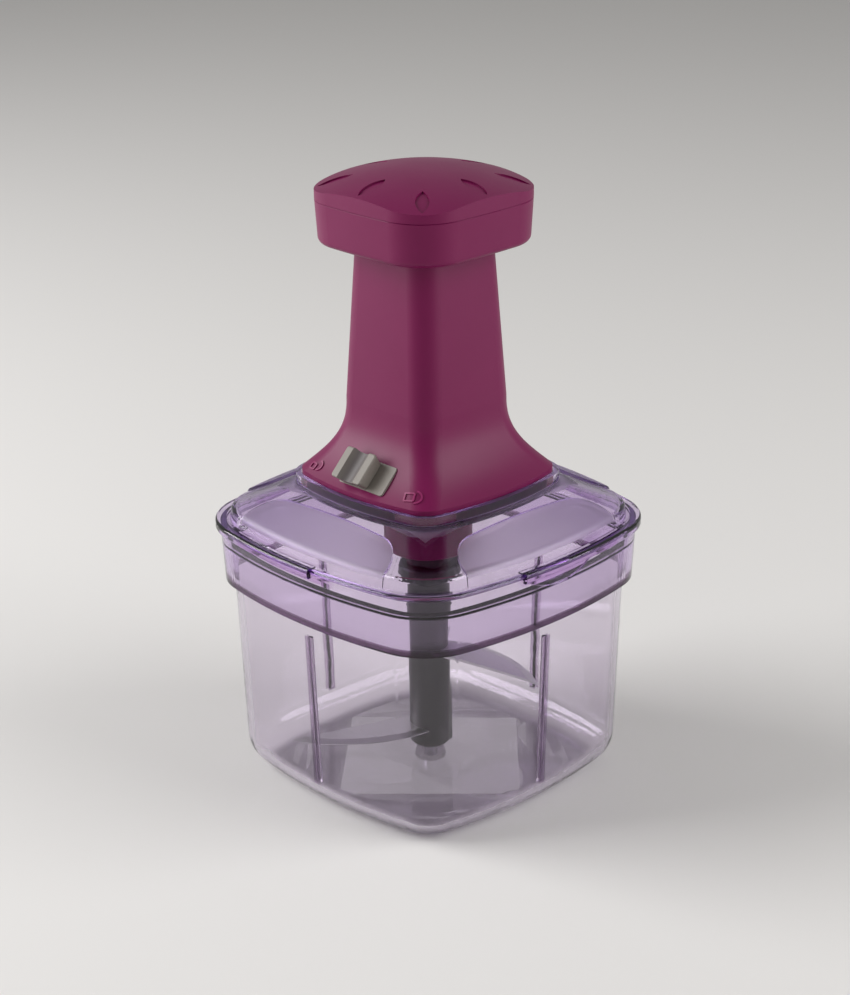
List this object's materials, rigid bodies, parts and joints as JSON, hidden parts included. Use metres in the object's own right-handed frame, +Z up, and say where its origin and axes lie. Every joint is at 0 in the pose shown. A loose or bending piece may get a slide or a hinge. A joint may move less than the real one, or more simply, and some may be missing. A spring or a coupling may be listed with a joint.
{
  "type": "vegetable chopper",
  "caption": "Push-down vegetable chopper: a square clear bowl with curved blades on a shaft, a tinted lid and a plunger handle with a sliding lock.",
  "frame": {"origin": "centre of the face that the bowl stands on", "axes": "+Z up along the drive axis, -Y towards the side with the lock"},
  "size_m": [0.134, 0.134, 0.2314],
  "materials": {
    "bowl_clear": "clear moulded plastic with a faint violet tint",
    "lid_tint": "clear moulded plastic, violet tinted",
    "handle_purple": "satin moulded plum-purple plastic",
    "drive_purple": "satin moulded plum-purple plastic",
    "shaft_black": "satin black moulded plastic",
    "lock_grey": "satin grey moulded plastic",
    "acetal_white": "white acetal",
    "blade_steel": "ground stainless sheet",
    "drive_steel": "drawn stainless bar and wire",
    "bush_brass": "turned brass"
  },
  "bodies": {
    "bowl_body": {"bowl": "bowl_clear", "centre_pin": "drive_steel"},
    "blade_unit": {"blade_shaft": "shaft_black", "lower_blade": "blade_steel", "middle_blade": "blade_steel", "upper_blade": "blade_steel"},
    "lid_body": {"lid": "lid_tint", "drive_housing": "drive_purple", "guide_tower": "drive_purple", "housing_screws": "drive_steel", "spindle_bush": "bush_brass", "thrust_washer": "acetal_white", "return_spring": "drive_steel"},
    "spindle_body": {"twist_spindle": "drive_steel", "driver_pin": "drive_steel", "pawl_driver": "acetal_white"},
    "coupling_body": {"drive_coupling": "shaft_black"},
    "handle_body": {"handle_shell": "handle_purple", "handle_cover": "handle_purple", "inner_sleeve": "shaft_black", "sleeve_screws": "drive_steel", "drive_nut": "acetal_white", "nut_screws": "drive_steel", "lock_plate": "lock_grey"},
    "lock_body": {"lock_slider": "lock_grey", "lock_bolt": "acetal_white"}
  },
  "joints": [
    {"name": "lid_lift", "type": "slide", "parent": "bowl_body", "child": "lid_body", "axis": [0, 0, 1], "range_m": [0, 0.09]},
    {"name": "handle_lift", "type": "slide", "parent": "lid_body", "child": "handle_body", "axis": [0, 0, 1], "range_m": [0, 0.05], "deforming": ["return_spring"]},
    {"name": "lock_slide", "type": "slide", "parent": "handle_body", "child": "lock_body", "axis": [1, 0, 0], "range_m": [0, 0.0065]},
    {"name": "spindle_spin", "type": "hinge", "parent": "lid_body", "child": "spindle_body", "pos_m": [0, 0, 0.1], "axis": [0, 0, 1], "range_deg": [-601, 0]},
    {"name": "blade_spin", "type": "hinge", "parent": "bowl_body", "child": "blade_unit", "pos_m": [0, 0, 0.03], "axis": [0, 0, 1], "continuous": true},
    {"name": "coupling_spin", "type": "hinge", "parent": "lid_body", "child": "coupling_body", "pos_m": [0, 0, 0.09], "axis": [0, 0, 1], "continuous": true}
  ],
  "couplings": [
    {"joint": "spindle_spin", "follows": "handle_lift", "rad_per_m": -209.44},
    {"joint": "coupling_spin", "follows": "blade_spin", "ratio": 1}
  ]
}
